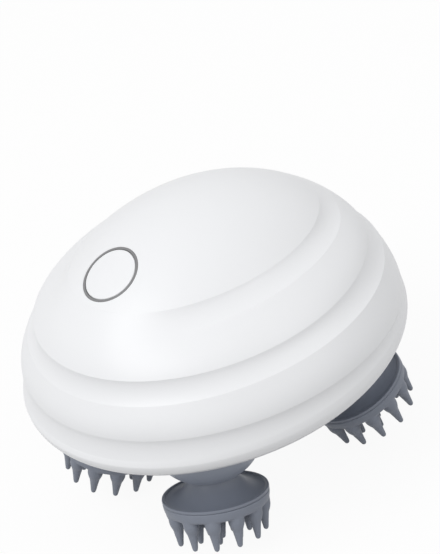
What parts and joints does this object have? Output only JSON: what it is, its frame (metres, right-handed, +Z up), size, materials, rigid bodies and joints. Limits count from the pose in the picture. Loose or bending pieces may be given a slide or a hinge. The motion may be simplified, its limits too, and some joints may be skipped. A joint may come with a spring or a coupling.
{
  "type": "electric scalp massager",
  "caption": "Handheld electric scalp massager: a stepped oval dome case with a round power button, on tilted rotating silicone heads of blunt tines driven from one motor.",
  "frame": {"origin": "on the floor under the middle of the case, with the massager standing on its tine tips", "axes": "+Z up through the crown, -Y towards the button end, +Y towards the charging port"},
  "size_m": [0.108, 0.116, 0.089],
  "materials": {
    "shell_white": "satin white moulded plastic",
    "cover_white": "matt white moulded plastic",
    "ring_grey": "grey trim ring",
    "silicone_grey": "matt blue-grey silicone",
    "hub_grey": "matt blue-grey moulded plastic",
    "steel": "plain steel",
    "board_green": "green solder mask",
    "chip_black": "black moulded package",
    "switch_white": "white plunger",
    "gear_nylon": "natural nylon",
    "brass": "turned brass",
    "inner_plastic": "dark moulded plastic",
    "cell_wrap": "shrink wrap"
  },
  "bodies": {
    "case": {"top_shell": "shell_white", "bottom_cover": "cover_white", "case_gasket": "silicone_grey", "case_screws": "steel", "button_ring": "ring_grey", "circuit_board": "board_green", "board_chips": "chip_black", "board_screws": "steel", "tact_switch": "chip_black", "charge_socket": "steel", "charge_board": "board_green", "gearbox_base": "inner_plastic", "gearbox_cover": "inner_plastic", "gearbox_screws": "steel", "central_axle": "steel", "compound_axle": "steel", "motor": "steel", "motor_screws": "steel", "battery_cell": "cell_wrap", "battery_cradle": "inner_plastic", "shaft_bush_front_right": "brass", "shaft_seal_front_right": "silicone_grey", "shaft_cup_front_right": "hub_grey", "shaft_bush_front_left": "brass", "shaft_seal_front_left": "silicone_grey", "shaft_cup_front_left": "hub_grey", "shaft_bush_rear_right": "brass", "shaft_seal_rear_right": "silicone_grey", "shaft_cup_rear_right": "hub_grey", "shaft_bush_rear_left": "brass", "shaft_seal_rear_left": "silicone_grey", "shaft_cup_rear_left": "hub_grey"},
    "button": {"power_button": "shell_white", "switch_plunger": "switch_white"},
    "plug": {"port_plug": "silicone_grey"},
    "drive_front_right": {"output_gear_front_right": "gear_nylon", "output_shaft_front_right": "steel", "drive_hub_front_right": "hub_grey"},
    "head_front_right": {"massage_head_front_right": "silicone_grey"},
    "drive_front_left": {"output_gear_front_left": "gear_nylon", "output_shaft_front_left": "steel", "drive_hub_front_left": "hub_grey"},
    "head_front_left": {"massage_head_front_left": "silicone_grey"},
    "drive_rear_right": {"output_gear_rear_right": "gear_nylon", "output_shaft_rear_right": "steel", "drive_hub_rear_right": "hub_grey"},
    "head_rear_right": {"massage_head_rear_right": "silicone_grey"},
    "drive_rear_left": {"output_gear_rear_left": "gear_nylon", "output_shaft_rear_left": "steel", "drive_hub_rear_left": "hub_grey"},
    "head_rear_left": {"massage_head_rear_left": "silicone_grey"},
    "central_drive": {"central_gear": "gear_nylon"},
    "compound_drive": {"compound_gear": "gear_nylon"},
    "rotor": {"motor_shaft": "steel", "motor_pinion": "brass"}
  },
  "joints": [
    {"name": "button_press", "type": "slide", "parent": "case", "child": "button", "axis": [0, 0.4106, -0.9118], "range_m": [0, 0.0005], "stiffness_N_per_m": 1500, "springref_m": -0.0004},
    {"name": "plug_pull", "type": "slide", "parent": "case", "child": "plug", "axis": [0, 1, 0], "range_m": [0, 0.012]},
    {"name": "spin_front_right", "type": "hinge", "parent": "case", "child": "drive_front_right", "pos_m": [0.0183, -0.0228, 0.03668], "axis": [-0.2038, 0.2539, 0.9455], "continuous": true},
    {"name": "pull_front_right", "type": "slide", "parent": "drive_front_right", "child": "head_front_right", "axis": [0.2038, -0.2539, -0.9455], "range_m": [0, 0.012]},
    {"name": "spin_front_left", "type": "hinge", "parent": "case", "child": "drive_front_left", "pos_m": [-0.0183, -0.0228, 0.03668], "axis": [0.2038, 0.2539, 0.9455], "continuous": true},
    {"name": "pull_front_left", "type": "slide", "parent": "drive_front_left", "child": "head_front_left", "axis": [-0.2038, -0.2539, -0.9455], "range_m": [0, 0.012]},
    {"name": "spin_rear_right", "type": "hinge", "parent": "case", "child": "drive_rear_right", "pos_m": [0.0183, 0.0228, 0.03668], "axis": [-0.2038, -0.2539, 0.9455], "continuous": true},
    {"name": "pull_rear_right", "type": "slide", "parent": "drive_rear_right", "child": "head_rear_right", "axis": [0.2038, 0.2539, -0.9455], "range_m": [0, 0.012]},
    {"name": "spin_rear_left", "type": "hinge", "parent": "case", "child": "drive_rear_left", "pos_m": [-0.0183, 0.0228, 0.03668], "axis": [0.2038, -0.2539, 0.9455], "continuous": true},
    {"name": "pull_rear_left", "type": "slide", "parent": "drive_rear_left", "child": "head_rear_left", "axis": [-0.2038, 0.2539, -0.9455], "range_m": [0, 0.012]},
    {"name": "central_spin", "type": "hinge", "parent": "case", "child": "central_drive", "pos_m": [0, 0, 0.04868], "axis": [0, 0, 1], "continuous": true},
    {"name": "compound_spin", "type": "hinge", "parent": "case", "child": "compound_drive", "pos_m": [0, 0.0155, 0.04868], "axis": [0, 0, 1], "continuous": true},
    {"name": "motor_spin", "type": "hinge", "parent": "case", "child": "rotor", "pos_m": [0.00771, 0.00631, 0.04868], "axis": [0, 0, 1], "continuous": true}
  ],
  "couplings": [
    {"joint": "spin_front_left", "follows": "spin_front_right", "ratio": 1},
    {"joint": "spin_rear_right", "follows": "spin_front_right", "ratio": 1},
    {"joint": "spin_rear_left", "follows": "spin_front_right", "ratio": 1},
    {"joint": "central_spin", "follows": "spin_front_right", "ratio": -1},
    {"joint": "compound_spin", "follows": "spin_front_right", "ratio": 3.4286},
    {"joint": "motor_spin", "follows": "spin_front_right", "ratio": -13.714}
  ]
}
